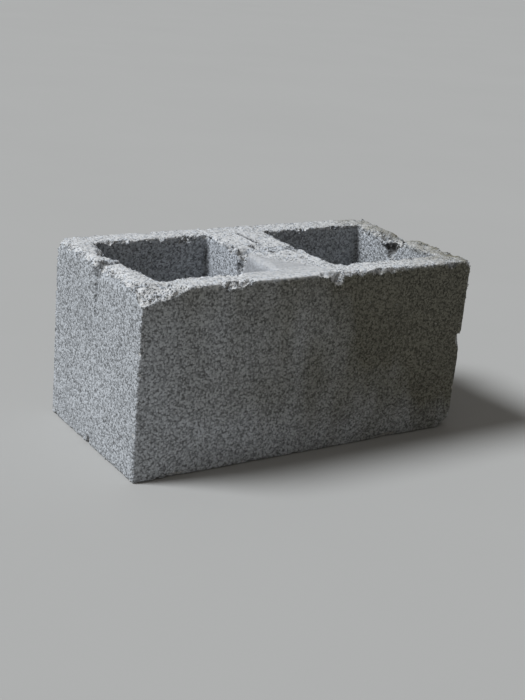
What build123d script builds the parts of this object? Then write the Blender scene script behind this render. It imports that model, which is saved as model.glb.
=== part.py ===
from build123d import *
import os

# A hollow concrete masonry block, cast in one piece, standing on its bed face.
# Millimetres, +Z up. The origin is the centre of the bottom bed face, +X runs along the length.

# Overall size, one 10 mm mortar joint short of the 400 x 200 x 200 module.
block_length = 390.0
block_width = 190.0
block_height = 190.0

# Wall thicknesses at the top, where the cores are widest.
end_wall = 30.0
face_shell = 27.5
middle_web = 70.0

# Each core is tapered so that the mould could be drawn up out of the block.
core_draft = 2.5
core_corner_radius = 4.0
core_mouth_radius = 2.0

# The rounding of the block's own edges. The upper end edges are slumped and much rounder.
vertical_edge_radius = 3.0
bed_edge_radius = 2.0
end_top_radius = 10.0

# The notch that the core bar left along the middle of the top, across every cross wall.
notch_width = 18.0
notch_depth = 14.0
notch_floor = 3.0
notch_shoulder_bulge = 2.5

# The tapered groove that runs down each face of each cross wall below the notch.
groove_length = 75.0
groove_width = 6.0
groove_tip_width = 1.5
groove_reach = 8.0
groove_fade = 0.5

# The thin slot in the top of the middle web, where the block can be split in two.
slot_width = 3.0
slot_tip_width = 1.5
slot_depth = 30.0

# How far every cutting shape runs past the surface it cuts.
overrun = 5.0

core_length = (block_length - 2 * end_wall - middle_web) / 2
core_width = block_width - 2 * face_shell
core_centres = [side * (middle_web + core_length) / 2 for side in (-1, 1)]


def rounded_bar(profile_plane, width, low_radius, high_radius, length):
    """A bar as high as the block, with its own radius on the low and on the high edges."""
    with BuildSketch(profile_plane) as profile:
        with Locations((0, block_height / 2)):
            Rectangle(width, block_height)
        fillet(profile.vertices().sort_by(Axis.Y)[:2], low_radius)
        fillet(profile.vertices().sort_by(Axis.Y)[-2:], high_radius)
    return extrude(profile.sketch, amount=length / 2 + overrun, both=True)


def outer_form():
    """The block before anything is cut from it: three bars that share their middle."""
    plan = RectangleRounded(block_length, block_width, vertical_edge_radius)
    column = extrude(plan, amount=block_height)
    lengthways = rounded_bar(Plane.XZ, block_length, bed_edge_radius, end_top_radius, block_width)
    crossways = rounded_bar(Plane.YZ, block_width, bed_edge_radius, bed_edge_radius, block_length)
    return column & lengthways & crossways


def core_section(height):
    """The core's outline at a height, in from its top size by its share of the draft."""
    inset = core_draft * (1 - height / block_height)
    outline = RectangleRounded(core_length - 2 * inset, core_width - 2 * inset, core_corner_radius)
    return Pos(0, 0, height) * outline


def core_hole():
    """One tapered core, from just below the block to just above it."""
    return loft([core_section(-overrun), core_section(block_height + overrun)], ruled=True)


def bar_notch():
    """The core bar's trough: a V with rounded shoulders and a narrow floor, along the length."""
    top = block_height
    bottom = block_height - notch_depth
    with BuildSketch(Plane.YZ) as profile:
        with BuildLine():
            left_top = (-notch_width / 2, top)
            left_floor = (-notch_floor / 2, bottom)
            right_floor = (notch_floor / 2, bottom)
            right_top = (notch_width / 2, top)
            Line(left_top, (-notch_width / 2, top + overrun))
            Line((-notch_width / 2, top + overrun), (notch_width / 2, top + overrun))
            Line((notch_width / 2, top + overrun), right_top)
            SagittaArc(right_floor, right_top, notch_shoulder_bulge)
            Line(right_floor, left_floor)
            SagittaArc(left_top, left_floor, notch_shoulder_bulge)
        make_face()
    return extrude(profile.sketch, amount=block_length / 2 + overrun, both=True)


def wall_groove(face_at, inward):
    """A groove down one wall face. It is widest and deepest at the top and fades out below.

    face_at gives the face's x at a height, and inward is +1 or -1, the way into the wall.
    """
    sections = []
    for depth in (-overrun, groove_length):
        share = depth / groove_length
        height = block_height - depth
        width = groove_width + (groove_tip_width - groove_width) * share
        reach = groove_reach - (groove_reach + groove_fade) * share
        outside = face_at(height) - inward * overrun
        inside = face_at(height) + inward * reach
        outline = Rectangle(abs(inside - outside), width)
        sections.append(Pos((outside + inside) / 2, 0, height) * outline)
    return loft(sections, ruled=True)


def core_face(core_x, side):
    """The x of a core's end face at a height, on its low or its high side."""
    def at(height):
        inset = core_draft * (1 - height / block_height)
        return core_x + side * (core_length / 2 - inset)
    return at


def all_grooves():
    """Both outer end faces, and both end faces of each core."""
    grooves = []
    for side in (-1, 1):
        grooves.append(wall_groove(lambda height, s=side: s * block_length / 2, -side))
    for core_x in core_centres:
        for side in (-1, 1):
            grooves.append(wall_groove(core_face(core_x, side), side))
    return grooves


def split_slot():
    """The slot across the middle web, tapered to a narrow floor, from shell to shell."""
    top = block_height + overrun
    bottom = block_height - slot_depth
    with BuildSketch(Plane.XZ) as profile:
        with BuildLine():
            Polyline(
                (-slot_width / 2, top),
                (-slot_tip_width / 2, bottom),
                (slot_tip_width / 2, bottom),
                (slot_width / 2, top),
                close=True,
            )
        make_face()
    return extrude(profile.sketch, amount=core_width / 2, both=True)


def core_mouth_edges(block):
    """The edges round each core on the top and on the bottom face."""
    def within_core(edge):
        centre = edge.center()
        in_length = any(abs(centre.X - core_x) <= core_length / 2 + 1 for core_x in core_centres)
        return in_length and abs(centre.Y) <= core_width / 2 + 1
    edges = block.edges().filter_by(lambda edge: edge.bounding_box().size.Z < 0.001)
    return edges.filter_by(within_core)


hollow_block = outer_form()
for core_x in core_centres:
    hollow_block -= Pos(core_x, 0, 0) * core_hole()
hollow_block = fillet(core_mouth_edges(hollow_block), core_mouth_radius)
hollow_block -= bar_notch()
for groove in all_grooves():
    hollow_block -= groove
hollow_block -= split_slot()

os.makedirs("parts", exist_ok=True)
export_step(hollow_block, "parts/hollow_block.step")
print("volume in cubic metres:", round(hollow_block.volume / 1e9, 6), "solids:", len(hollow_block.solids()))
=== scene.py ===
import math
from itertools import combinations

import bpy
import numpy as np
from bpy.props import FloatProperty, FloatVectorProperty, IntProperty, PointerProperty
from mathutils import Matrix, Vector


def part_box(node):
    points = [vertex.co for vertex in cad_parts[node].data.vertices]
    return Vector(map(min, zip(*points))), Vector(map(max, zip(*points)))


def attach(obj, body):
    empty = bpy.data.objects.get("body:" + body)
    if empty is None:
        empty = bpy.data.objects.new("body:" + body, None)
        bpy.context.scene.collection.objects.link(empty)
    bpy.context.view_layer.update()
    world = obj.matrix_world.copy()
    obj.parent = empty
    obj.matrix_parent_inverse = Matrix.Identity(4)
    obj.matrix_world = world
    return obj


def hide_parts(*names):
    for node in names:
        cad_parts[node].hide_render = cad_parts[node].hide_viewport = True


# The looks of a hollow concrete block: its worn cast surface, the grains that stand out of it,
# and a plain studio stage. Metres, +Z up, origin at the centre of the bottom bed face.

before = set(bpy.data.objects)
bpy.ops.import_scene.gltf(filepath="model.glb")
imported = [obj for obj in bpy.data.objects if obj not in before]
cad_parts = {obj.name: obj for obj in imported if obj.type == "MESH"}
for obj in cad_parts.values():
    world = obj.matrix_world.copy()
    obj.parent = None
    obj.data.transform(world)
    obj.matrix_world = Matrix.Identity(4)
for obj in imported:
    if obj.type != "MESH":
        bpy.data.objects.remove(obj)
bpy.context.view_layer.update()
BLOCK_LOW, BLOCK_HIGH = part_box("hollow_block")

bl_info = {
    "name": "Hollow concrete block",
    "version": (1, 0, 0),
    "blender": (4, 5, 0),
    "location": "3D View > Sidebar > Block",
    "description": "Casts a worn hollow concrete block and sets it on a plain stage",
    "category": "Add Mesh",
}

MM = 0.001

# The seeds of the random draws. Breaks and bites each add their own number to theirs.
WEAR_SEED = 41
GRAIN_SEED = 97
BREAK_SEED = 300
BITE_SEED = 400
NICK_SEED = 500

# What each point of the skin tells the concrete, from 0 to 1.
MASKS = (
    "worn_edge", "rough_bed", "broken_face", "smeared_paste", "sealed_skin", "damp_face", "grimy_pit",
)


def millimetres(label, text, value):
    """A length that the user can change, given in millimetres and kept in metres."""
    return FloatProperty(name=label, description=text, default=value * MM, min=0.0, unit="LENGTH")


def degrees(label, text, value):
    """An angle that the user can change, given in degrees and kept in radians."""
    return FloatProperty(name=label, description=text, default=math.radians(value), subtype="ANGLE")


def strength(label, text, value):
    """A strength of light that the user can change."""
    return FloatProperty(name=label, description=text, default=value, min=0.0)


def point(label, text, value):
    """A point, or a direction given as one, that the user can change."""
    return FloatVectorProperty(name=label, description=text, default=value, subtype="XYZ")


def colour(label, text, value):
    """A colour that the user can change."""
    limits = {"size": 3, "min": 0.0, "max": 1.0}
    return FloatVectorProperty(name=label, description=text, default=value, subtype="COLOR", **limits)


class BlockSizes(bpy.types.PropertyGroup):
    """The sizes of the cast form."""

    end_wall: millimetres("End wall", "Thickness of each end wall at the top", 30)
    face_shell: millimetres("Face shell", "Thickness of each long wall at the top", 27.5)
    middle_web: millimetres("Middle web", "Thickness of the cross wall between the cores", 70)
    core_draft: millimetres("Core draft", "How much each core wall leans in at the bottom", 2.5)
    core_corner: millimetres("Core corner", "Radius of the upright corners of each core", 3.2)
    core_mouth: millimetres("Core mouth", "Rounding of the edges round each core", 1.7)
    upright_edge: millimetres("Upright edge", "Rounding of the four outer upright edges", 2.5)
    long_top_edge: millimetres("Long top edge", "Rounding of the top edges of the long sides", 2.6)
    end_top_edge: millimetres("End top edge", "Rounding of the slumped top edges of the ends", 8.5)
    bed_edge: millimetres("Bed edge", "Rounding of the bottom edges", 2.2)
    notch_width: millimetres("Notch width", "Width of the core bar's notch at the top", 18)
    notch_floor: millimetres("Notch floor", "Width of the core bar's notch at its floor", 3)
    notch_depth: millimetres("Notch depth", "Depth of the core bar's notch", 14)
    groove_length: millimetres("Groove length", "How far down each cross wall's face the groove runs", 75)
    groove_width: millimetres("Groove width", "Width of the groove at the top", 8)
    groove_tip: millimetres("Groove tip", "Width of the groove at its lower tip", 2)
    groove_reach: millimetres("Groove reach", "Depth of the groove into the wall at the top", 8)
    slot_width: millimetres("Slot width", "Width of the splitting slot in the middle web", 3)
    slot_tip: millimetres("Slot tip", "Width of the splitting slot at its floor", 1.6)
    slot_depth: millimetres("Slot depth", "Depth of the splitting slot", 28)
    coarse_step: millimetres("Coarse step", "Distance between grid lines on the faces", 2.6)
    fine_step: millimetres("Fine step", "Distance between grid lines at the edges", 1.1)


class BlockWear(bpy.types.PropertyGroup):
    """How rough and how worn the block is."""

    face_relief: millimetres("Face relief", "Height of the rough relief on the moulded faces", 0.55)
    edge_relief: millimetres("Edge relief", "Height of the rough relief on the worn edges", 1.3)
    broken_relief: millimetres("Broken relief", "Height of the rough relief on broken places", 1.9)
    bed_relief: millimetres("Bed relief", "Height of the rough relief on the top and bottom beds", 1.1)
    nick_count: IntProperty(name="Nicks", description="Small bites along the edges", default=400, min=0)
    nick_size: millimetres("Nick size", "Usual radius of a nick", 2.0)
    grain_count: IntProperty(name="Grains", description="Grains that stand out", default=6500, min=0)
    grain_size: millimetres("Grain size", "Usual radius of a grain that stands out", 0.95)


class BlockColours(bpy.types.PropertyGroup):
    """Surface colours."""

    grain_dark: colour("Dark grains", "The darkest grains and the paste between them", (0.25, 0.26, 0.272))
    grain_light: colour("Light grains", "The lightest grains and the paste over them", (0.585, 0.608, 0.64))
    # Partly painted highlight: the lighter colour of powdery wear, also put on breaks to stand for the
    # light on them.
    bruise: colour("Bruise", "Powdery concrete on worn edges and breaks", (0.72, 0.70, 0.67))
    smear: colour("Smear", "Paste smeared smooth", (0.36, 0.36, 0.365))
    # Painted shade: the dark colour put at the bottom of the pores and in pits, holes and the open slot.
    pit: colour("Pit", "Bottom of the open pores", (0.11, 0.11, 0.11))
    # Painted shade: multiplies the near face's colour as its shade, and the top's towards the right end as
    # a darkening.
    damp: colour("Damp", "What a damp and soiled face's colour is multiplied by", (0.35, 0.325, 0.245))
    floor: colour("Floor", "The pale floor", (0.405, 0.396, 0.378))


class BlockView(bpy.types.PropertyGroup):
    """Camera and light."""

    azimuth: degrees("Azimuth", "Turn round the block", -34.1)
    elevation: degrees("Elevation", "Height above the horizon", 19.3)
    roll: degrees("Roll", "Tilt of the camera about its own axis", 5.2)
    distance: millimetres("Distance", "Camera to the aimed point", 1282)
    aim: point("Aim", "Point that the camera looks at", (-0.001, -0.0055, 0.081))
    lens: FloatProperty(name="Lens", description="Focal length in millimetres", default=62.3, min=1.0)
    key_strength: strength("Key strength", "Strength of the key light", 3.75)
    key_spread: degrees("Key spread", "How broad the key light looks from the block", 20)
    key_from: point("Key from", "Direction that the key light comes from", (-0.58, 0.23, 0.78))
    key_colour: colour("Key colour", "Colour of the key light", (0.90, 0.945, 1.0))
    surround_strength: strength("Surround strength", "Strength of the light from all round", 0.19)
    surround_colour: colour("Surround colour", "Colour of the light from all round", (1.0, 0.985, 0.95))


# Noise worked out on whole arrays.

LATTICE_PRIMES = (73856093, 19349663, 83492791)
SEED_PRIME = 2654435761
MIX_PRIME = 1274126177
WORD = 0xFFFFFFFF


def lattice_value(cells, seed):
    """A repeatable number from 0 to 1 for each lattice cell: its three counts are mixed bit by bit."""
    mixed = np.full(len(cells), (seed * SEED_PRIME) & WORD, dtype=np.uint64)
    for axis, prime in enumerate(LATTICE_PRIMES):
        mixed ^= (cells[:, axis].astype(np.int64) * prime & WORD).astype(np.uint64)
    for shift in (15, 13):
        mixed = (mixed ^ (mixed >> np.uint64(shift))) * np.uint64(MIX_PRIME) & np.uint64(WORD)
    mixed ^= mixed >> np.uint64(16)
    return mixed.astype(float) / WORD


def smooth_noise(points, cell, seed):
    """Noise from -1 to 1: the lattice values round a point, blended by an eased share along each axis."""
    scaled = points / cell
    base = np.floor(scaled).astype(np.int64)
    share = scaled - base
    share = share * share * (3 - 2 * share)
    total = np.zeros(len(points))
    for corner in range(8):
        step = np.array([corner & 1, corner >> 1 & 1, corner >> 2 & 1])
        weight = np.prod(np.where(step == 1, share, 1 - share), axis=1)
        total += weight * lattice_value(base + step, seed)
    return 2 * total - 1


def layered_noise(points, cell, layers, seed):
    """Noise of several sizes added up, each half as large and half as strong as the one before."""
    total = np.zeros(len(points))
    strengths = 0.0
    for layer in range(layers):
        total += smooth_noise(points, cell / 2**layer, seed + layer) / 2**layer
        strengths += 1 / 2**layer
    return total / strengths


def cell_noise(points, cell, seed):
    """Distance to the nearest of one random point in each lattice cell, as a share of the cell."""
    scaled = points / cell
    base = np.floor(scaled).astype(np.int64)
    nearest = np.full(len(points), np.inf)
    for step in np.ndindex(3, 3, 3):
        near = base + np.array(step) - 1
        centre = near + np.stack([lattice_value(near, seed + axis) for axis in range(3)], axis=1)
        nearest = np.minimum(nearest, ((scaled - centre) ** 2).sum(axis=1))
    return np.sqrt(nearest)


def eased(value):
    """0 below 0, 1 above 1 and a smooth S between."""
    held = np.clip(value, 0, 1)
    return held * held * (3 - 2 * held)


# The grid that the block's skin is made on.


class BlockShape:
    """The block's overall and derived sizes, read once from the user's values."""

    def __init__(self, sizes):
        for name in BlockSizes.__annotations__:
            setattr(self, name, getattr(sizes, name))
        self.half_length = (BLOCK_HIGH.x - BLOCK_LOW.x) / 2
        self.half_width = (BLOCK_HIGH.y - BLOCK_LOW.y) / 2
        self.height = BLOCK_HIGH.z
        self.core_low = self.middle_web / 2
        self.core_high = self.half_length - self.end_wall
        self.core_centre = (self.core_low + self.core_high) / 2
        self.core_half_length = (self.core_high - self.core_low) / 2
        self.core_half_width = self.half_width - self.face_shell


def graded_lines(breaks, step_at):
    """Lines through every break. Between two breaks the running total of one over the step is
    read back at even shares, so the lines lie as close together as step_at says."""
    lines = [breaks[0]]
    for start, stop in zip(breaks, breaks[1:]):
        at = np.linspace(start, stop, 400)
        middles = (at[1:] + at[:-1]) / 2
        pace = np.concatenate([[0], np.cumsum(np.diff(at) / step_at(middles))])
        count = max(1, round(pace[-1]))
        lines.extend(np.interp(np.linspace(0, pace[-1], count + 1)[1:], pace, at))
    return np.array(lines)


def step_by_places(places, fine, coarse, reach):
    """A function that gives fine at every place and grows evenly to coarse at reach from it."""
    def step(at):
        gap = np.abs(at[:, None] - np.array(places)[None, :]).min(axis=1)
        return fine + (coarse - fine) * np.clip(gap / reach, 0, 1)
    return step


def mirrored(values):
    """Rising values with the same ones below zero before them."""
    return [-value for value in reversed(values)] + values


def plan_lines(shape, reach):
    """The grid's lines across the length and across the width, closest at the walls, the notch and
    the slot."""
    fine, coarse = shape.fine_step, shape.coarse_step
    slot_edge, slot_floor = shape.slot_width / 2, shape.slot_tip / 2
    x_walls = [shape.core_low, shape.core_high, shape.half_length]
    x_breaks = mirrored([slot_floor, slot_edge, 1.3 * slot_edge, *x_walls])
    xs = graded_lines(x_breaks, step_by_places(mirrored(x_walls), fine, coarse, reach))
    y_walls = [shape.core_half_width, shape.half_width]
    y_half = [shape.notch_width / 2, *y_walls]
    y_breaks = [-y for y in reversed(y_half)] + [0] + y_half
    by_walls = step_by_places(mirrored(y_walls), fine, coarse, reach)
    by_notch = step_by_places([0], 0.7 * fine, coarse, 1.3 * reach)
    return xs, graded_lines(y_breaks, lambda at: np.minimum(by_walls(at), by_notch(at)))


def depth_lines(shape, reach):
    """The depths of the rows down the outer walls, and down the core walls, where the rows out of
    sight lie further apart."""
    by_beds = step_by_places([0, shape.height], shape.fine_step, shape.coarse_step, reach)
    seen_depth = 65 * MM

    def core_step(at):
        deeper = np.clip((at - seen_depth) / seen_depth, 0, 1)
        return by_beds(at) * (1 + 1.2 * deeper * (at < shape.height - reach))

    whole = [0, shape.height]
    return graded_lines(whole, by_beds), graded_lines(whole, core_step)


def rectangle_loop(i_low, i_high, j_low, j_high):
    """Grid counts once round a rectangle, anticlockwise seen from above."""
    along_i = i_high - i_low
    along_j = j_high - j_low
    up, down = np.arange(i_low, i_high), np.arange(i_high, i_low, -1)
    there, back = np.arange(j_low, j_high), np.arange(j_high, j_low, -1)
    i = np.concatenate([up, np.full(along_j, i_high), down, np.full(along_j, i_low)])
    j = np.concatenate([np.full(along_i, j_low), there, np.full(along_i, j_high), back])
    return i, j


def skin_grid(shape):
    """The skin as a plan grid on top, the same grid below, and walls down the outer outline and
    down each core: each point's place in plan, its height as a share, and the four-sided faces."""
    reach = 14 * MM
    xs, ys = plan_lines(shape, reach)
    outer_depths, core_depths = depth_lines(shape, reach)
    solid = np.ones((len(xs) - 1, len(ys) - 1), bool)
    loops = [(rectangle_loop(0, len(xs) - 1, 0, len(ys) - 1), outer_depths, 1)]
    j_low, j_high = (np.abs(ys - y).argmin() for y in (-shape.core_half_width, shape.core_half_width))
    for low, high in ((-shape.core_high, -shape.core_low), (shape.core_low, shape.core_high)):
        i_low, i_high = (np.abs(xs - x).argmin() for x in (low, high))
        solid[i_low:i_high, j_low:j_high] = False
        loops.append((rectangle_loop(i_low, i_high, j_low, j_high), core_depths, -1))

    used = np.zeros((len(xs), len(ys)), bool)
    for di in (0, 1):
        for dj in (0, 1):
            used[di:di + solid.shape[0], dj:dj + solid.shape[1]] |= solid
    number = np.cumsum(used).reshape(used.shape) - 1
    count = int(used.sum())
    across, along = np.meshgrid(xs, ys, indexing="ij")
    flat = np.stack([across[used], along[used]], axis=1)
    plan, level = [flat, flat], [np.ones(count), np.zeros(count)]
    i, j = np.nonzero(solid)
    cells = np.stack([number[i, j], number[i + 1, j], number[i + 1, j + 1], number[i, j + 1]], axis=1)
    faces = [cells, cells[:, ::-1] + count]

    made = 2 * count
    for (i, j), depths, way in loops:
        rows, columns = len(depths), len(i)
        table = np.empty((rows, columns), int)
        table[0] = number[i, j]
        table[-1] = number[i, j] + count
        inner = (rows - 2) * columns
        table[1:-1] = made + np.arange(inner).reshape(rows - 2, columns)
        made += inner
        plan.append(np.tile(np.stack([xs[i], ys[j]], axis=1), (rows - 2, 1)))
        level.append(np.repeat(1 - depths[1:-1] / shape.height, columns))
        following = np.roll(table, -1, axis=1)
        quads = np.stack([table[:-1], table[1:], following[1:], following[:-1]], axis=-1).reshape(-1, 4)
        faces.append(quads[:, ::way])
    return np.concatenate(plan), np.concatenate(level), np.concatenate(faces)


def round_rectangle(offset, half, radius):
    """Points on a sharp rectangle of that half size moved onto the same one with round corners:
    each is held inside a smaller rectangle, and set one radius out from where it is held."""
    held = np.clip(offset, -(half - radius[:, None]), half - radius[:, None])
    out = offset - held
    length = np.linalg.norm(out, axis=1)
    ratio = np.divide(radius, length, out=np.ones_like(length), where=length > 1e-9)
    return held + out * ratio[:, None]


def shape_plan(plan, level, shape):
    """The plan grid bent onto the real outline. Lines near a core shrink towards it with depth, for
    its draft, and take its round corners. Lines near the outside take the block's upright edges."""
    bent = plan.copy()
    fade = 14 * MM
    inset = shape.core_draft * (1 - level)
    core_half = np.array([shape.core_half_length, shape.core_half_width])
    for side in (-1, 1):
        centre = np.array([side * shape.core_centre, 0])
        offset = plan - centre
        excess = (np.abs(offset) - core_half).max(axis=1)
        nearness = np.clip(1 - excess / fade, 0, 1) * (excess > -1e-6)
        offset = offset - np.clip(offset / core_half, -1, 1) * (inset * nearness)[:, None]
        half = core_half + (np.maximum(excess, 0) - inset * nearness)[:, None]
        moved = round_rectangle(offset, half, shape.core_corner * nearness) + centre
        bent = np.where((nearness > 0)[:, None], moved, bent)
    outer_half = np.array([shape.half_length, shape.half_width])
    depth = (outer_half - np.abs(plan)).min(axis=1)
    outer_fade = 8 * MM
    nearness = np.clip(1 - depth / outer_fade, 0, 1)
    moved = round_rectangle(bent, outer_half - depth[:, None], shape.upright_edge * nearness)
    return np.where((nearness > 0)[:, None], moved, bent)


def rounded_distance(points, half, radius):
    """Signed distance in plan to a rounded rectangle, negative inside, and the way straight out of it."""
    folded = np.abs(points) - (half - radius)
    beyond = np.maximum(folded, 0)
    length = np.linalg.norm(beyond, axis=1)
    distance = length + np.minimum(folded.max(axis=1), 0) - radius
    flat = np.eye(2)[folded.argmax(axis=1)]
    way = np.where((length > 1e-9)[:, None], beyond / np.maximum(length, 1e-9)[:, None], flat)
    return distance, way * np.where(points < 0, -1, 1)


def wall_distance(points, level, shape):
    """For each point, how far it is into the concrete from the nearest upright wall, the way out
    through that wall, and whether the wall is the outer one."""
    outer_half = np.array([shape.half_length, shape.half_width])
    distance, way = rounded_distance(points, outer_half, shape.upright_edge)
    depth, out, is_outer = -distance, way, np.ones(len(points), bool)
    inset = (shape.core_draft * (1 - level))[:, None]
    core_half = np.array([shape.core_half_length, shape.core_half_width]) - inset
    for side in (-1, 1):
        centre = np.array([side * shape.core_centre, 0])
        distance, way = rounded_distance(points - centre, core_half, shape.core_corner)
        nearer = distance < depth
        depth = np.where(nearer, distance, depth)
        out = np.where(nearer[:, None], -way, out)
        is_outer = is_outer & ~nearer
    return np.maximum(depth, 0), out, is_outer


# The notch, the slot, the grooves and the edges of the cast form.


def slot_openness(y):
    """How open the splitting slot is, from 0 to 1: only on its far half, as paste shut the near one."""
    return eased((y - 24 * MM) / (14 * MM))


def notch_drop(points, shape):
    """How far the top lies below the bed: the core bar's notch, whose sides fall as a power of the
    way in and which crumbs partly fill, and the thin slot across the middle web."""
    x, y = points[:, 0], points[:, 1]
    middle_line = np.stack([x, 0 * x, 0 * x], axis=1)
    side_line = np.stack([x, 0.1 * np.sign(y), 0 * x], axis=1)
    ragged = 1 + 0.16 * layered_noise(side_line, 9 * MM, layers=2, seed=5)
    half, floor = shape.notch_width / 2 * ragged, shape.notch_floor / 2
    way_in = np.clip((half - np.abs(y)) / (half - floor), 0, 1)
    in_web = eased(1.75 - np.abs(x) / (0.42 * shape.middle_web))
    web_fill = 0.82 * in_web * (0.95 + 0.45 * smooth_noise(middle_line, 6 * MM, seed=8))
    left_end_fill = 0.35 * eased((-x - shape.core_high + 8 * MM) / (20 * MM))
    notch = shape.notch_depth * way_in**1.9 * (1 - np.clip(web_fill + left_end_fill, 0, 0.93))
    edge, tip = shape.slot_width / 2, shape.slot_tip / 2
    across = np.clip((edge - np.abs(x)) / (edge - tip), 0, 1)
    within = np.abs(y) < shape.core_half_width - 1 * MM
    slot = shape.slot_depth * across * within * slot_openness(y)
    return np.maximum(notch, slot)


def cut_grooves(points, shape):
    """Points near the six cross wall faces moved into the wall. The groove's reach and width shrink
    evenly to its tip, its section is a parabola, and the move fades out behind the face."""
    x, y, z = points.T
    below = (shape.height - z) / shape.groove_length
    half = (shape.groove_width + (shape.groove_tip - shape.groove_width) * np.clip(below, 0, 1)) / 2
    section = np.clip(1 - (y / half) ** 2, 0, 1)
    fade = 12 * MM
    moved = x.copy()
    inset = shape.core_draft * (1 - z / shape.height)
    for side in (-1, 1):
        outer = side * shape.half_length, -side, 0.8
        core_out = side * (shape.core_high - inset), side, 0.5
        core_in = side * (shape.core_low + inset), -side, 1.0
        for face, way, share in (outer, core_out, core_in):
            behind = (x - face) * way
            near = np.clip(1 - np.abs(behind) / fade, 0, 1)
            reach = share * shape.groove_reach * np.clip(1 - below, 0, 1) ** 1.5
            moved += way * reach * section * near
    return np.stack([moved, y, z], axis=1)


def round_edges(points, top, depth, out, radius_top, radius_bottom):
    """Points within one radius of an edge moved onto its arc. With a and b as their shares of the
    radius towards the wall and towards the bed, they are drawn in until a, b has the arc's length."""
    moved = points.copy()
    for bed_gap, radius, up in ((top - points[:, 2], radius_top, 1), (points[:, 2], radius_bottom, -1)):
        a = np.maximum(radius - depth, 0)
        b = np.maximum(radius - bed_gap, 0)
        near = (a > 0) & (b > 0)
        length = np.maximum(np.hypot(a, b), 1e-9)
        pull = np.minimum(np.where(near, radius / length - 1, 0), 0)
        moved[:, :2] += (a * pull)[:, None] * out
        moved[:, 2] += up * b * pull
    return moved


# Places where the top edge of a wall across the block slumped before the mix set, or kept sharp:
# centre in plan, reach in plan, radius added to the edge's own.
SLUMPS = (
    ((-0.195, -0.045), (0.030, 0.042), 0.0075),
    ((-0.165, 0.018), (0.017, 0.046), 0.0165),
    ((-0.035, -0.040), (0.022, 0.026), 0.0080),
    ((0.035, 0.030), (0.016, 0.022), 0.0040),
    ((0.195, 0.045), (0.030, 0.040), 0.0070),
    ((0.195, -0.060), (0.030, 0.035), -0.0060),
)


class Places:
    """Where each point of the skin lies on the block before any wear: in plan, up from the bottom,
    down from the top, into the concrete from the nearest wall, and whether in the notch or slot."""

    def __init__(self, shape):
        plan, self.level, self.faces = skin_grid(shape)
        self.plan = shape_plan(plan, self.level, shape)
        self.top = shape.height - notch_drop(self.plan, shape)
        self.from_bottom = self.level * self.top
        self.from_top = self.top - self.from_bottom
        self.depth, self.out, self.is_outer = wall_distance(self.plan, self.level, shape)
        x, y = np.abs(self.plan).T
        self.in_notch = eased((shape.notch_width / 2 - y) / (4 * MM))
        in_slot = (x <= 1.01 * shape.slot_width / 2) * (self.level > 0.99)
        self.in_slot = in_slot * slot_openness(self.plan[:, 1]) * (y < shape.core_half_width)


def cast_form(at, shape):
    """The cast form's points: the grid at its height, grooved, and rounded at every edge. The radius
    wavers, grows where a wall slumped and shrinks in the notch."""
    points = cut_grooves(np.column_stack([at.plan, at.from_bottom]), shape)
    waver = layered_noise(points, 34 * MM, layers=3, seed=11)
    outer_radius = shape.long_top_edge * at.out[:, 1] ** 2 + shape.end_top_edge * at.out[:, 0] ** 2
    radius_top = np.where(at.is_outer, outer_radius, shape.core_mouth) * (1 + 0.55 * waver)
    for centre, slump_reach, added in SLUMPS:
        nearness = np.exp(-(((at.plan - centre) / slump_reach) ** 2).sum(axis=1))
        radius_top += added * at.out[:, 0] ** 2 * nearness
    sharpest = 0.8 * MM
    radius_top = np.maximum(radius_top, sharpest) * (1 - 0.6 * at.in_notch)
    radius_bottom = np.where(at.is_outer, shape.bed_edge, 0.8 * shape.core_mouth) * (1 + 0.5 * waver)
    return round_edges(points, at.top, at.depth, at.out, radius_top, radius_bottom)


# Breaks, bites and nicks.

# Corners broken off along a slanting plane: the corner, and how far the break reaches along its edges.
CORNER_BREAKS = (
    ((-0.195, -0.095, 0.190), (0.060, 0.0320, -0.0165)),
    ((0.195, -0.095, 0.0), (-0.020, 0.012, 0.016)),
    ((0.195, -0.095, 0.190), (-0.010, 0.009, -0.011)),
    ((-0.195, 0.095, 0.190), (0.010, -0.022, -0.012)),
)
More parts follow.
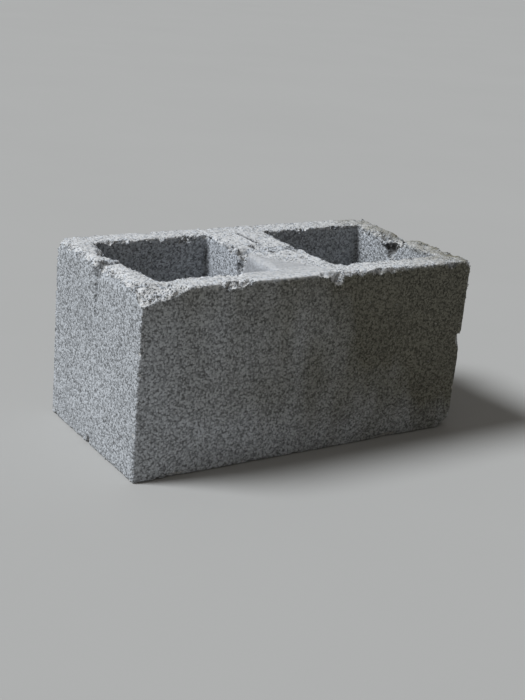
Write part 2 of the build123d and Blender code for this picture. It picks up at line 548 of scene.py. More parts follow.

# Bites out of the edges: the centre, the half sizes, the way in and the share of painted shade put
# in the hollow. Their order counts, as each takes its raggedness from its number.
BITES = (
    # The dip in the near top edge and the chip at its middle.
    ((-0.095, -0.0990, 0.1915), (0.0165, 0.0085, 0.0095), (0, 0.3, -1), 0),
    ((0.013, -0.0985, 0.1925), (0.0185, 0.0120, 0.0085), (0, 0.3, -1), 0),
    ((0.0205, -0.0975, 0.1835), (0.0080, 0.0080, 0.0065), (0, 0.3, -1), 0),
    # The right end wall: its widened notch, the hole in its inner face and the pits in its top.
    ((0.180, 0.0120, 0.1920), (0.024, 0.0185, 0.0130), (0, -0.1, -1), 0),
    ((0.163, 0.0040, 0.1785), (0.0120, 0.0100, 0.0068), (1, 0, -0.2), 1),
    ((0.163, -0.0045, 0.1845), (0.0100, 0.0060, 0.0060), (1, 0, -0.3), 1),
    ((0.163, -0.0105, 0.1885), (0.0100, 0.0055, 0.0050), (1, 0, -0.4), 1),
    ((0.164, 0.0080, 0.1715), (0.0070, 0.0042, 0.0055), (1, 0, 0), 1),
    ((0.184, 0.0050, 0.1870), (0.0075, 0.0070, 0.0090), (0, 0, -1), 0.9),
    ((0.174, 0.0280, 0.1900), (0.0050, 0.0060, 0.0060), (0, 0, -1), 0.7),
    ((0.185, -0.0270, 0.1900), (0.0050, 0.0050, 0.0060), (0, 0, -1), 0.8),
    # The hole in the middle web and the rough groove in its left face.
    ((-0.0090, 0.0120, 0.1875), (0.0058, 0.0085, 0.0140), (0, 0, -1), 1),
    ((-0.0340, -0.0040, 0.1830), (0.0060, 0.0075, 0.0090), (1, 0, -0.5), 0.35),
    ((-0.0345, -0.0010, 0.1720), (0.0045, 0.0060, 0.0080), (1, 0, -0.2), 0.2),
    # The pit in the left end's notch, then two core mouths and the bottom edge.
    ((-0.192, 0.0030, 0.1830), (0.0090, 0.0065, 0.0090), (1, 0, -0.4), 0.9),
    ((0.0350, -0.0300, 0.1905), (0.0040, 0.0120, 0.0050), (-1, 0, -0.8), 0),
    ((-0.122, 0.0675, 0.1910), (0.006, 0.0025, 0.0030), (0, 1, -1), 0),
    ((0.106, -0.0960, 0.0005), (0.018, 0.0040, 0.0050), (0, 1, 0.8), 0),
    ((-0.150, -0.0960, 0.0005), (0.012, 0.0035, 0.0040), (0, 1, 0.8), 0),
    # Smaller chips and hollows of the near top edge.
    ((0.0310, -0.0985, 0.1915), (0.0100, 0.0075, 0.0065), (0, 0.3, -1), 0),
    ((0.0225, -0.0920, 0.1850), (0.0050, 0.0050, 0.0030), (0, 1, 0), 0.7),
    ((-0.1045, -0.0955, 0.1850), (0.0035, 0.0040, 0.0025), (0, 1, 0), 0.4),
    ((-0.0915, -0.0955, 0.1850), (0.0035, 0.0040, 0.0025), (0, 1, 0), 0.4),
    # The valley behind the left end's hump.
    ((-0.1660, 0.0260, 0.1860), (0.0145, 0.0170, 0.0165), (-0.2, 0, -1), 0.1),
    # Small pits: two in the right end, two in the left one, and the rest on the web.
    ((0.1640, 0.0140, 0.1785), (0.0070, 0.0060, 0.0030), (1, 0, 0), 1),
    ((0.1880, -0.0065, 0.1895), (0.0040, 0.0040, 0.0045), (0, 0, -1), 0.8),
    ((-0.1900, -0.0270, 0.1850), (0.0035, 0.0035, 0.0035), (0.7, 0, -0.7), 0.7),
    ((-0.1945, 0.0446, 0.1855), (0.0030, 0.0035, 0.0030), (1, 0, -0.5), 0.6),
    ((0.0015, -0.0080, 0.1895), (0.0045, 0.0045, 0.0040), (0, 0, -1), 0.6),
    ((0.0185, -0.0365, 0.1900), (0.0040, 0.0040, 0.0035), (0, 0, -1), 0.6),
    ((-0.0290, 0.0040, 0.1880), (0.0065, 0.0060, 0.0050), (0, 0, -1), 0.4),
    ((0.0015, 0.0205, 0.1900), (0.0050, 0.0045, 0.0035), (0, 0, -1), 0.5),
    ((0.0270, -0.0110, 0.1900), (0.0040, 0.0035, 0.0035), (0, 0, -1), 0.4),
    ((0.0130, -0.0220, 0.1900), (0.0050, 0.0035, 0.0030), (0, 0, -1), 0.4),
)


class Skin:
    """The block's points, with how broken each one is and how much painted shade darkens it."""

    def __init__(self, points, broken, grimy):
        self.points, self.broken, self.grimy = points, broken, grimy

    def bite(self, centre, radii, push, ragged, seed, grime=0.0):
        """Pushes the points inside an uneven ellipsoid along one way until they lie on its far side.
        They become broken, and darkened by painted shade by the share given, by how deep they were in it."""
        centre, radii, way = (np.array(value, float) for value in (centre, radii, push))
        way /= np.linalg.norm(way)
        near = np.flatnonzero((np.abs(self.points - centre) < radii * (1 + ragged)).all(axis=1))
        local = (self.points[near] - centre) / radii
        size = 1 + ragged * layered_noise(self.points[near], 5 * MM, 2, seed)
        step = way / radii
        gap = (local**2).sum(axis=1) - size**2
        a = (step**2).sum()
        b = local @ step
        travel = np.where(gap < 0, (-b + np.sqrt(np.maximum(b * b - a * gap, 0))) / a, 0)
        self.points[near] += travel[:, None] * way
        self.broken[near] = np.maximum(self.broken[near], np.clip(-1.6 * gap, 0, 1))
        self.grimy[near] = np.maximum(self.grimy[near], grime * np.clip(-5 * gap, 0, 1))

    def break_corner(self, corner, reach, ragged, seed):
        """Moves the points cut off by an uneven slanting plane straight onto it. The plane meets the
        corner's three edges at the reaches given."""
        corner, reach = np.array(corner), np.array(reach)
        near = np.flatnonzero((np.abs(self.points - corner) < 1.5 * np.abs(reach).max()).all(axis=1))
        slope = 1 / reach
        uneven = 1 + ragged * layered_noise(self.points[near], 9 * MM, 3, seed)
        short = np.maximum(uneven - (self.points[near] - corner) @ slope, 0)
        self.points[near] += (short / (slope**2).sum())[:, None] * slope
        self.broken[near] = np.maximum(self.broken[near], np.clip(4 * short, 0, 1))


def point_normals(points, faces):
    """Each point's normal: the cross products of its faces' diagonals added up, at length one."""
    corner = points[faces]
    cross = np.cross(corner[:, 2] - corner[:, 0], corner[:, 3] - corner[:, 1])
    sums = [np.bincount(faces.ravel(), np.repeat(cross[:, axis], 4), len(points)) for axis in range(3)]
    total = np.stack(sums, axis=1)
    return total / np.maximum(np.linalg.norm(total, axis=1), 1e-12)[:, None]


def edge_and_bed(at, shape):
    """How near each point is to an edge, and how near to the top or bottom bed, from 0 to 1. Bottom
    edges, upright edges and the bottom bed count for less."""
    edge_width, bed_skin = 8 * MM, 3 * MM
    outer_half = np.array([shape.half_length, shape.half_width])
    to_top, to_bottom = np.hypot(at.depth, at.from_top), np.hypot(at.depth, at.from_bottom)
    to_upright = np.hypot(*(outer_half - np.abs(at.plan)).T)
    edge = np.zeros(len(at.level))
    for gap, share in ((to_top, 1), (to_bottom, 0.6), (to_upright, 0.55)):
        edge = np.maximum(edge, share * np.clip(1 - gap / edge_width, 0, 1))
    bed = np.maximum(eased(1 - at.from_top / bed_skin), 0.6 * eased(1 - at.from_bottom / bed_skin))
    return edge, bed * (1 - 0.6 * at.in_notch * (at.level > 0.5))


def smear_places(at, shape):
    """Where paste darkened the skin and where it sealed it smooth: the near side of a slanting line
    across the middle web's top, down its left face and on the near shell beside it, where the tone
    fades towards the edge. Then the band of crumbs past that line."""
    x, y = at.plan.T
    depth = (1 - at.level) * shape.height
    slant = math.radians(52.9)
    near_side = -30 * MM - x * math.sin(slant) - y * math.cos(slant)
    flat_points = np.column_stack([at.plan, 0 * x])
    near_side = near_side + 3 * MM * layered_noise(flat_points, 12 * MM, layers=2, seed=71)
    beside = eased((x + 82 * MM) / (12 * MM)) * eased((26 * MM - x) / (12 * MM))
    above_front = np.where(y < -shape.half_width + 1 * MM, depth < 3 * MM, True)
    sealed = eased(near_side / (4 * MM)) * beside * above_front * eased((60 * MM - depth) / (30 * MM))
    inside = 1 - 0.5 * eased((-y - 60 * MM) / (10 * MM)) - 0.5 * eased((-y - 80 * MM) / (14 * MM))
    crumbs = eased(1 - np.abs(near_side + 8 * MM) / (11 * MM)) * (np.abs(x) < shape.core_low + 1 * MM)
    return sealed * inside, sealed, crumbs * (depth < 4 * MM) * (1 - sealed)


def crumbling(at, points, crumbs, shape):
    """How broken the skin is before any bite: in the notch, in the grooves and in the crumbs."""
    below_bed = shape.height - points[:, 2]
    crumbly = eased((6 * MM - np.abs(at.plan[:, 1])) / (4 * MM)) * eased((34 * MM - below_bed) / (14 * MM))
    crumbly = np.maximum(crumbly * eased(1 - at.depth / (6 * MM)), at.in_notch * (at.from_top < 1 * MM))
    return np.maximum(0.5 * crumbly, 0.55 * crumbs)


def break_and_nick(skin, at, edge, sealed, wear):
    """Breaks the corners off, takes the bites, and then the nicks: small bites into random points,
    drawn by how near they are to an edge, and not where the skin is sealed, darkened by painted shade or
    broken."""
    for number, (corner, reach) in enumerate(CORNER_BREAKS):
        skin.break_corner(corner, reach, ragged=0.30, seed=BREAK_SEED + number)
    for number, (centre, radii, push, grime) in enumerate(BITES):
        skin.bite(centre, radii, push, ragged=0.28, seed=BITE_SEED + number, grime=grime)
    rng = np.random.default_rng(WEAR_SEED)
    normals = point_normals(skin.points, at.faces)
    in_core_corner = ~at.is_outer & (np.abs(at.out[:, 0] * at.out[:, 1]) > 0.05)
    weight = edge**2 * np.where(at.level > 0.6, 1.0, 0.6) * (1 - sealed) * ~in_core_corner
    weight = weight * (1 - skin.broken) ** 2 * (1 - skin.grimy)
    picks = rng.choice(len(weight), wear.nick_count, p=weight / weight.sum())
    sizes = wear.nick_size * rng.lognormal(0, 0.4, wear.nick_count)
    stretches = rng.uniform(0.8, 1.8, (wear.nick_count, 3))
    for number, (pick, size) in enumerate(zip(picks, sizes)):
        centre = skin.points[pick] + 0.45 * size * normals[pick]
        radii = size * stretches[number]
        skin.bite(centre, radii, -normals[pick], ragged=0.3, seed=NICK_SEED + number)


def roughened(skin, at, edge, bed, sealed, wear):
    """The points lifted along their normals by the rough relief, which a coarse noise raises, pores
    lower and a gentle noise sways, and then kept inside the block's box."""
    points = skin.points
    normals = point_normals(points, at.faces)
    coarse = layered_noise(points, 6 * MM, layers=3, seed=21)
    pores = eased((0.38 - cell_noise(points, 7.5 * MM, seed=31)) / 0.26)
    gentle = layered_noise(points, 60 * MM, layers=2, seed=41)
    relief = wear.face_relief + (wear.edge_relief - wear.face_relief) * edge
    relief = np.maximum(np.maximum(relief, wear.bed_relief * bed), wear.broken_relief * skin.broken)
    relief = relief * (1 - 0.8 * sealed) * (1 - 0.7 * at.in_slot)
    lift = relief * (0.6 * coarse - 0.6 * pores - 0.15) + 0.35 * MM * (gentle - 0.6)
    return np.clip(points + normals * lift[:, None], np.array(BLOCK_LOW), np.array(BLOCK_HIGH))


# Painted shade on the near face, and a darkening of the top towards the right end.


def near_face_painted_shade(points, out, shape):
    """How much painted shade darkens the outer faces: the near one in cloudy patches and faint upright
    streaks, more so to the right and higher up and least at the foot, and the others slightly."""
    drawn_up = points * np.array([1, 1, 0.2])
    clouds = layered_noise(points, 75 * MM, layers=4, seed=61)
    streaks = layered_noise(drawn_up, 18 * MM, layers=2, seed=66)
    along, up = points[:, 0] / shape.half_length, 2 * points[:, 2] / shape.height - 1
    at_foot = eased(1 - points[:, 2] / (70 * MM))
    patches = 0.66 + (0.36 * clouds + 0.2 * streaks) + 0.75 * along + 0.35 * up - 0.24 * at_foot
    near_face = eased((-out[:, 1] - 0.6) / 0.3)
    others = 0.17
    return np.clip(others + (patches - others) * near_face, 0, 1)


def right_end_darkening(points, from_top, shape):
    """How much darker the top is: a power of the way from the middle to the right end, made uneven by
    noise, and under half as much on the upper part of the core walls."""
    start = 20 * MM
    along = np.clip((points[:, 0] - start) / (shape.half_length - start), 0, 1)
    uneven = 0.9 + 0.5 * smooth_noise(points, 9 * MM, seed=81)
    fade = np.where(from_top < 5 * MM, 1, 0.36) * eased((90 * MM - from_top) / (60 * MM))
    return 0.98 * along**3.2 * uneven * fade


def weathered_block(shape, wear):
    """The block's skin: the cast form, then its breaks and nicks, then its rough relief.
    Gives points, faces and the masks that the concrete reads."""
    at = Places(shape)
    points = cast_form(at, shape)
    edge, bed = edge_and_bed(at, shape)
    smeared, sealed, crumbs = smear_places(at, shape)
    # The open slot starts with painted shade in it.
    skin = Skin(points, crumbling(at, points, crumbs, shape), 0.7 * at.in_slot)
    break_and_nick(skin, at, edge, sealed, wear)
    points = roughened(skin, at, edge, bed, sealed, wear)
    outer_share = at.is_outer * eased(at.from_top / (5 * MM))
    right_end_dark = (1 - outer_share) * right_end_darkening(points, at.from_top, shape)
    # Painted shade on the near face and slightly on the other outer faces, plus the darkening of the top
    # towards the right end; broken top places get less.
    damp = outer_share * near_face_painted_shade(points, at.out, shape) + right_end_dark
    damp = damp * (1 - 0.7 * skin.broken * (at.level > 0.8))
    values = (edge, bed, skin.broken, smeared, sealed, damp, skin.grimy)
    return points, at.faces, dict(zip(MASKS, values))


# Turning arrays into Blender meshes.


def mesh_object(name, points, faces, masks, material, smooth=True):
    """A mesh object from arrays of points and faces, with one value per point for each mask."""
    mesh = bpy.data.meshes.new(name)
    corners = faces.shape[1]
    mesh.vertices.add(len(points))
    mesh.loops.add(faces.size)
    mesh.polygons.add(len(faces))
    mesh.vertices.foreach_set("co", points.astype(np.float32).ravel())
    mesh.loops.foreach_set("vertex_index", faces.astype(np.int32).ravel())
    mesh.polygons.foreach_set("loop_start", np.arange(0, faces.size, corners, dtype=np.int32))
    mesh.polygons.foreach_set("use_smooth", np.full(len(faces), smooth))
    mesh.update(calc_edges=True)
    if mesh.validate():
        raise RuntimeError(f"{name} had broken faces")
    for mask, values in masks.items():
        attribute = mesh.attributes.new(mask, "FLOAT", "POINT")
        attribute.data.foreach_set("value", values.astype(np.float32))
    mesh.materials.append(material)
    made = bpy.data.objects.new(name, mesh)
    bpy.context.scene.collection.objects.link(made)
    return made


# Shader nodes.


class Value:
    """A node's output. Sums written with it, such as one minus a value, make Math nodes."""

    def __init__(self, socket):
        self.socket, self.tree = socket, socket.id_data

    def __add__(self, other):
        return self.calc("ADD", self, other)

    def __sub__(self, other):
        return self.calc("SUBTRACT", self, other)

    def __rsub__(self, other):
        return self.calc("SUBTRACT", other, self)

    def __mul__(self, other):
        return self.calc("MULTIPLY", self, other)

    def __rtruediv__(self, other):
        return self.calc("DIVIDE", other, self)

    def above(self, level):
        """1 where the value is above the level, and 0 elsewhere."""
        return self.calc("GREATER_THAN", self, level)

    def highest(self, other):
        """The higher of this and another value."""
        return self.calc("MAXIMUM", self, other)

    def calc(self, operation, first, second):
        """A Math node's result."""
        return put(self.tree, "ShaderNodeMath", [0], {0: first, 1: second}, operation=operation)

    def eased(self, low, high, to_low=0.0, to_high=1.0):
        """The value eased from one range into another."""
        ends = {"From Min": low, "From Max": high, "To Min": to_low, "To Max": to_high}
        inputs = {"Value": self, **ends}
        return put(self.tree, "ShaderNodeMapRange", ["Result"], inputs, interpolation_type="SMOOTHSTEP")


def feed(socket, value):
    """Gives an input another node's output or a plain value."""
    if isinstance(value, Value):
        socket.id_data.links.new(value.socket, socket)
    else:
        socket.default_value = value


def put(tree, kind, outputs, inputs=None, **settings):
    """A new shader node with its settings and inputs. Gives the outputs named, one alone or several
    in a list."""
    made = tree.nodes.new(kind)
    for name, value in settings.items():
        setattr(made, name, value)
    for key, value in (inputs or {}).items():
        feed(made.inputs[key], value)
    values = [Value(made.outputs[key]) for key in outputs]
    return values[0] if len(values) == 1 else values


def noise(vector, scale, detail, output="Fac", roughness=0.5):
    """A noise texture's output."""
    inputs = {"Vector": vector, "Scale": scale, "Detail": detail, "Roughness": roughness}
    return put(vector.tree, "ShaderNodeTexNoise", [output], inputs)


def packed_cells(vector, scale):
    """The distance to the middle of the nearest cell, and each cell's own two random numbers."""
    inputs = {"Vector": vector, "Scale": scale}
    distance, tint = put(vector.tree, "ShaderNodeTexVoronoi", ["Distance", "Color"], inputs)
    return distance, *put(vector.tree, "ShaderNodeSeparateColor", [0, 1], {0: tint})


def vector_calc(operation, first, second):
    """A Vector Math node's result. Scaling takes a plain value second."""
    key = "Scale" if operation == "SCALE" else 1
    return put(first.tree, "ShaderNodeVectorMath", [0], {0: first, key: second}, operation=operation)


def mix_colours(share, first, second, blend="MIX"):
    """Two colours mixed by a share, where plain colours get full alpha."""
    first, second = (rgb if isinstance(rgb, Value) else (*rgb, 1.0) for rgb in (first, second))
    settings = {"data_type": "RGBA", "blend_type": blend}
    return put(share.tree, "ShaderNodeMix", [2], {0: share, 6: first, 7: second}, **settings)


def new_group(name, inputs, outputs):
    """An empty shader node group with named inputs, of which those without a default are vectors,
    and named outputs. Gives the group and its inputs' values."""
    group = bpy.data.node_groups.new(name, "ShaderNodeTree")
    for label, default in inputs.items():
        kind = "NodeSocketVector" if default is None else "NodeSocketFloat"
        socket = group.interface.new_socket(label, in_out="INPUT", socket_type=kind)
        if default is not None:
            socket.default_value = default
    for label in outputs:
        group.interface.new_socket(label, in_out="OUTPUT", socket_type="NodeSocketFloat")
    return group, *put(group, "NodeGroupInput", inputs)


def aggregate_grain_group():
    """Sand and fine gravel packed together: rounded cells of two sizes, bent out of shape, with pores
    where small cells meet and where a noise is low. Gives tone, pores and height in metres."""
    inputs = {"Vector": None, "Grain Size": 0.0022, "Pore Level": 0.5, "Relief": 0.0005}
    made = new_group("aggregate_grain", inputs, ["Tone", "Pores", "Height"])
    group, vector, size, level, relief = made
    scale = 1.0 / size
    wander = vector_calc("SUBTRACT", noise(vector, scale, 2.0, "Color"), (0.5, 0.5, 0.5))
    bent = vector_calc("ADD", vector, vector_calc("SCALE", wander, size))
    sand, sand_pick, _ = packed_cells(bent, scale)
    gravel, gravel_pick, gravel_chance = packed_cells(bent, scale * 0.45)
    fine = noise(vector, scale * 2.4, 2.0)
    hollows = noise(vector, scale * 0.7, 3.0)
    chosen = gravel_chance.above(0.7)
    stone = gravel.eased(0.5, 0.4) * chosen
    bare = 1.0 - stone
    gaps = sand.eased(0.62, 0.84) * hollows.eased(level + 0.08, level)
    holes = hollows.eased(level - 0.11, level - 0.17)
    pores = gaps.highest(holes) * bare
    dome = sand.eased(0.75, 0.15)
    pick = sand_pick * bare + gravel_pick * stone
    tone = pick * 0.42 + fine * 0.16 + hollows * 0.36 + dome * 0.15
    raised = dome * 0.5 + fine * 0.4 + gravel.eased(0.5, 0.1) * (chosen * 0.6)
    height = (raised - pores * 1.2) * relief
    put(group, "NodeGroupOutput", [], {"Tone": tone, "Pores": pores, "Height": height})
    return group


def cloudy_tone_group():
    """Slow changes of tone over a face, from how wet and how dense the mix was."""
    inputs = {"Vector": None, "Patch Size": 0.06, "Strength": 0.2}
    group, vector, size, amount = new_group("cloudy_tone", inputs, ["Factor"])
    clouds = noise(vector, 1.0 / size, 4.0, roughness=0.62)
    put(group, "NodeGroupOutput", [], {"Factor": (clouds - 0.5) * amount + 1.0})
    return group


def bruise_and_highlight_group():
    """Powdery wear, partly a painted highlight on breaks: a worn edge or a break, made ragged by noise, as
    a mask from 0 to 1.
    """
    inputs = {"Vector": None, "Edge": 0.0, "Broken": 0.0, "Raggedness": 0.7, "Patch Size": 0.004}
    group, vector, edge, broken, raggedness, size = new_group("bruising", inputs, ["Mask"])
    uneven = (noise(vector, 1.0 / size, 3.0) - 0.5) * raggedness
    put(group, "NodeGroupOutput", [], {"Mask": (edge.highest(broken) + uneven).eased(0.38, 0.85)})
    return group


def shared_groups():
    """The node groups, each built once and then found by name."""
    makers = {
        "aggregate_grain": aggregate_grain_group,
        "cloudy_tone": cloudy_tone_group,
        "bruising": bruise_and_highlight_group,
    }
    return {name: bpy.data.node_groups.get(name) or make() for name, make in makers.items()}


def use_group(tree, group, outputs, inputs):
    """A node group placed in a tree."""
    return put(tree, "ShaderNodeGroup", outputs, inputs, node_tree=group)


def new_material(name):
    """A material, its node tree, its shader's inputs and the object's own coordinates."""
    material = bpy.data.materials.new(name)
    material.use_nodes = True
    tree = material.node_tree
    shader = tree.nodes["Principled BSDF"]
    return material, tree, shader.inputs, put(tree, "ShaderNodeTexCoord", ["Object"])


def concrete_material(name, colours, groups):
    """Open textured grey concrete: grains with painted shade in their pores, cloudy tone, whitish bruised
    edges and breaks that are partly a painted highlight, smooth smeared paste, painted shade in pits, holes
    and the slot, and painted shade and darkening on the faces, each where its mask says so."""
    material, tree, shader, place = new_material(name)
    read = [put(tree, "ShaderNodeAttribute", ["Fac"], attribute_name=mask) for mask in MASKS]
    edge, bed, broken, smeared, sealed, damp, grimy = read
    inputs = {"Vector": place, "Grain Size": 0.0019, "Pore Level": 0.5, "Relief": 0.0006}
    outputs = ["Tone", "Pores", "Height"]
    grain, pores, height = use_group(tree, groups["aggregate_grain"], outputs, inputs)
    inputs = {"Vector": place, "Patch Size": 0.07, "Strength": 0.30}
    clouds = use_group(tree, groups["cloudy_tone"], ["Factor"], inputs)
    inputs = {"Vector": place, "Edge": (edge * 0.75).highest(bed * 0.7), "Broken": broken}
    inputs.update({"Raggedness": 1.3, "Patch Size": 0.0045})
    powder_and_highlight = use_group(tree, groups["bruising"], ["Mask"], inputs)
    rough = 1.0 - (sealed * 0.8).highest(powder_and_highlight * 0.4)
    body = mix_colours(grain.eased(0.27, 0.77), colours.grain_dark, colours.grain_light)
    # Powdery wear, partly a painted highlight on broken places.
    body = mix_colours(powder_and_highlight * 0.65, body, colours.bruise)
    body = mix_colours(smeared * 0.65, body, colours.smear)
    # Painted shade at the bottom of the pores, less where the skin is sealed or powdery.
    body = mix_colours(pores * 0.65 * rough, body, colours.pit)
    # Painted shade in pits, holes and the open slot.
    body = mix_colours(grimy * 0.9, body, colours.pit)
    # Painted shade and darkening: the colour multiplied by the tint where the mask says.
    body = mix_colours(damp, body, colours.damp, "MULTIPLY")
    feed(shader["Base Color"], vector_calc("SCALE", body, clouds))
    inputs = {"Height": height * rough, "Distance": 1.0, "Strength": 0.9}
    feed(shader["Normal"], put(tree, "ShaderNodeBump", ["Normal"], inputs))
    feed(shader["Roughness"], grain.eased(0.0, 1.0, 0.97, 0.84))
    feed(shader["Specular IOR Level"], 0.25)
    return material


def floor_material(name, colours, groups):
    """A pale smooth floor with a faint cloudiness."""
    material, tree, shader, place = new_material(name)
    inputs = {"Vector": place, "Patch Size": 0.5, "Strength": 0.06}
    clouds = use_group(tree, groups["cloudy_tone"], ["Factor"], inputs)
    inputs = {0: tuple(colours.floor), "Scale": clouds}
    feed(shader["Base Color"], put(tree, "ShaderNodeVectorMath", [0], inputs, operation="SCALE"))
    feed(shader["Roughness"], 0.9)
    return material


# Grains that stand out of the skin.


def icosahedron():
    """The twelve corners, at length one, and twenty faces of a regular solid."""
    golden = (1 + math.sqrt(5)) / 2
    signs = np.array([(a, b) for a in (-1, 1) for b in (-1, 1)], float)
    flat = np.column_stack([np.zeros(4), signs[:, 0], golden * signs[:, 1]])
    corners = np.concatenate([np.roll(flat, turn, axis=1) for turn in range(3)])
    gap = np.linalg.norm(corners[:, None] - corners[None], axis=2)
    beside = (gap < 2.1) & (gap > 0.1)
    faces = []
    for i, j, k in combinations(range(12), 3):
        if beside[i, j] and beside[j, k] and beside[i, k]:
            outward = np.linalg.det(corners[[i, j, k]]) > 0
            faces.append((i, j, k) if outward else (i, k, j))
    return corners / math.hypot(1, golden), np.array(faces)


def turns(rng, count):
    """Random rotation matrices, from random unit quaternions."""
    w, x, y, z = rng.normal(size=(count, 4)).T
    length = np.sqrt(w * w + x * x + y * y + z * z)
    w, x, y, z = w / length, x / length, y / length, z / length
    rows = [[1 - 2 * (y * y + z * z), 2 * (x * y - w * z), 2 * (x * z + w * y)],
            [2 * (x * y + w * z), 1 - 2 * (x * x + z * z), 2 * (y * z - w * x)],
            [2 * (x * z - w * y), 2 * (y * z + w * x), 1 - 2 * (x * x + y * y)]]
    return np.array(rows).transpose(2, 0, 1)


def standing_grains(points, faces, masks, wear):
    """Grains half sunk in the skin. Faces are picked by area and by how worn or broken they are,
    a point is taken on each by two random shares, and an uneven angular solid is set there,
    drawn back where it would stand out of the block's own box."""
    rng = np.random.default_rng(GRAIN_SEED)
    count = wear.grain_count
    corner = points[faces]
    cross = np.cross(corner[:, 2] - corner[:, 0], corner[:, 3] - corner[:, 1])
    area = np.linalg.norm(cross, axis=1)
    mask = {name: values[faces].mean(axis=1) for name, values in masks.items()}
    worn = 0.01 + mask["worn_edge"] ** 1.5 + 0.25 * mask["rough_bed"] + 1.3 * mask["broken_face"]
    weight = area * worn * (1 - 0.97 * mask["sealed_skin"]) * (1 - mask["grimy_pit"])
    low_part, low_share = 100 * MM, 0.35
    weight *= np.where(corner[:, :, 2].mean(axis=1) > low_part, 1, low_share)
    pick = rng.choice(len(faces), count, p=weight / weight.sum())
    u, v = rng.random((2, count, 1))
    a, b, c, d = corner[pick].transpose(1, 0, 2)
    spots = (a * (1 - u) + b * u) * (1 - v) + (d * (1 - u) + c * u) * v
    normal = cross[pick] / np.maximum(area[pick], 1e-12)[:, None]
    radius = wear.grain_size * rng.lognormal(0, 0.38, count)
    form, form_faces = icosahedron()
    bumps = rng.uniform(0.72, 1.18, (count, len(form), 1))
    stretch = rng.uniform(0.65, 1.25, (count, 1, 3))
    grains = form[None] * bumps * stretch * radius[:, None, None]
    grains = np.einsum("nij,nkj->nki", turns(rng, count), grains)
    grains += (spots - normal * (0.25 * radius)[:, None])[:, None]
    low, high = np.array(BLOCK_LOW), np.array(BLOCK_HIGH)
    grains -= np.maximum(grains - high, 0).max(axis=1)[:, None]
    grains += np.maximum(low - grains, 0).max(axis=1)[:, None]
    number = form_faces[None] + np.arange(count)[:, None, None] * len(form)
    powdery = rng.uniform(0.35, 1.0, count)
    made = {name: np.zeros(grains.shape[0] * len(form)) for name in MASKS}
    made["worn_edge"] = np.repeat(powdery, len(form))
    # The grains take some of the painted shade of the face under them.
    made["damp_face"] = np.repeat(0.6 * mask["damp_face"][pick], len(form))
    return grains.reshape(-1, 3), number.reshape(-1, 3), made


class BLOCK_OT_cast_block(bpy.types.Operator):
    """Cast the block as one worn skin with its cores, notch, grooves, slot and breaks"""

    bl_idname = "block.cast_block"
    bl_label = "Cast block"

    def execute(self, context):
        scene = context.scene
        shape = BlockShape(scene.block_sizes)
        points, faces, masks = weathered_block(shape, scene.block_wear)
        material = concrete_material("open_concrete", scene.block_colours, shared_groups())
        block = mesh_object("cast_block", points, faces, masks, material)
        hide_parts("hollow_block")
        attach(block, "root")
        return {"FINISHED"}


class BLOCK_OT_stand_grains(bpy.types.Operator):
    """Set single grains into the worn edges, the broken places and the rough beds"""

    bl_idname = "block.stand_grains"
    bl_label = "Stand grains"

    def execute(self, context):
        block = bpy.data.objects.get("cast_block")
        if block is None:
            raise RuntimeError("cast the block before its grains")
        mesh = block.data
        points = np.empty(3 * len(mesh.vertices), np.float32)
        mesh.vertices.foreach_get("co", points)
        faces = np.empty(len(mesh.loops), np.int32)
        mesh.loops.foreach_get("vertex_index", faces)
        masks = {}
        for name in MASKS:
            masks[name] = np.empty(len(mesh.vertices), np.float32)
            mesh.attributes[name].data.foreach_get("value", masks[name])
        skin = points.reshape(-1, 3).astype(float), faces.reshape(-1, 4), masks
        made = standing_grains(*skin, context.scene.block_wear)
        grains = mesh_object("standing_grains", *made, mesh.materials[0], smooth=False)
        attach(grains, "root")
        return {"FINISHED"}


# The stage.


def stage_floor(colours, groups):
    """A floor of one flat grid at height zero, wide enough for every view."""
    reach, count = 30.0, 13
    lines = np.linspace(-reach, reach, count)
    x, y = np.meshgrid(lines, lines, indexing="ij")
    points = np.column_stack([x.ravel(), y.ravel(), np.zeros(x.size)])
    number = np.arange(x.size).reshape(x.shape)
    corners = [number[:-1, :-1], number[1:, :-1], number[1:, 1:], number[:-1, 1:]]
    faces = np.stack(corners, axis=-1).reshape(-1, 4)
    return mesh_object("floor", points, faces, {}, floor_material("pale_floor", colours, groups))


def stage_camera(view):
    """The camera at the viewing angle, turned to the aimed point and then rolled about its own axis."""
    a, e = view.azimuth, view.elevation
    back = Vector((math.sin(a) * math.cos(e), -math.cos(a) * math.cos(e), math.sin(e)))
    camera = bpy.data.objects.new("camera", bpy.data.cameras.new("camera"))
    camera.data.lens = view.lens
    camera.data.sensor_width = 36.0
    camera.data.clip_end = 200.0
    looking = back.to_track_quat("Z", "Y").to_matrix() @ Matrix.Rotation(view.roll, 3, "Z")
    camera.matrix_world = Matrix.Translation(Vector(view.aim) + back * view.distance) @ looking.to_4x4()
    bpy.context.scene.collection.objects.link(camera)
    bpy.context.scene.camera = camera


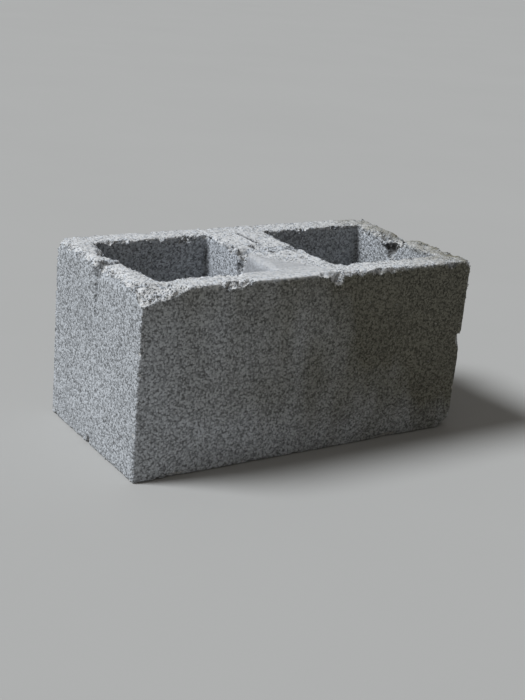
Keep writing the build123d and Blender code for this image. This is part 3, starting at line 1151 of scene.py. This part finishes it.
def stage_lights(view):
    """One broad soft key from the upper left and a little behind, and a pale surround."""
    sun = bpy.data.objects.new("key", bpy.data.lights.new("key", "SUN"))
    sun.data.energy = view.key_strength
    sun.data.angle = view.key_spread
    sun.data.color = view.key_colour
    sun.matrix_world = Vector(view.key_from).to_track_quat("Z", "Y").to_matrix().to_4x4()
    bpy.context.scene.collection.objects.link(sun)
    world = bpy.data.worlds.new("surround")
    world.use_nodes = True
    background = world.node_tree.nodes["Background"]
    background.inputs["Color"].default_value = (*view.surround_colour, 1.0)
    background.inputs["Strength"].default_value = view.surround_strength
    bpy.context.scene.world = world


class BLOCK_OT_set_stage(bpy.types.Operator):
    """Set the block on a plain pale floor in soft studio light, with the camera at its viewing angle"""

    bl_idname = "block.set_stage"
    bl_label = "Set stage"

    def execute(self, context):
        scene = context.scene
        stage_floor(scene.block_colours, shared_groups())
        stage_lights(scene.block_view)
        stage_camera(scene.block_view)
        scene.view_settings.view_transform = "Standard"
        return {"FINISHED"}


OPERATORS = (BLOCK_OT_cast_block, BLOCK_OT_stand_grains, BLOCK_OT_set_stage)
VALUE_GROUPS = {
    "block_sizes": BlockSizes,
    "block_wear": BlockWear,
    "block_colours": BlockColours,
    "block_view": BlockView,
}


class BLOCK_PT_panel(bpy.types.Panel):
    """The block's tools and values in the sidebar"""

    bl_idname = "BLOCK_PT_panel"
    bl_label = "Concrete block"
    bl_space_type = "VIEW_3D"
    bl_region_type = "UI"
    bl_category = "Block"

    def draw(self, context):
        for operator in OPERATORS:
            self.layout.operator(operator.bl_idname)
        for group_name, group in VALUE_GROUPS.items():
            box = self.layout.box()
            for name in group.__annotations__:
                box.prop(getattr(context.scene, group_name), name)


def register():
    """Makes the value groups, operators and panel known to Blender."""
    for known in (*VALUE_GROUPS.values(), *OPERATORS, BLOCK_PT_panel):
        bpy.utils.register_class(known)
    for name, group in VALUE_GROUPS.items():
        setattr(bpy.types.Scene, name, PointerProperty(type=group))


def unregister():
    """Takes them away again."""
    for name in VALUE_GROUPS:
        delattr(bpy.types.Scene, name)
    for known in (BLOCK_PT_panel, *reversed(OPERATORS), *reversed(VALUE_GROUPS.values())):
        bpy.utils.unregister_class(known)


def main():
    """Builds everything in order."""
    register()
    bpy.ops.block.cast_block()
    bpy.ops.block.stand_grains()
    bpy.ops.block.set_stage()


if __name__ == "__main__":
    main()
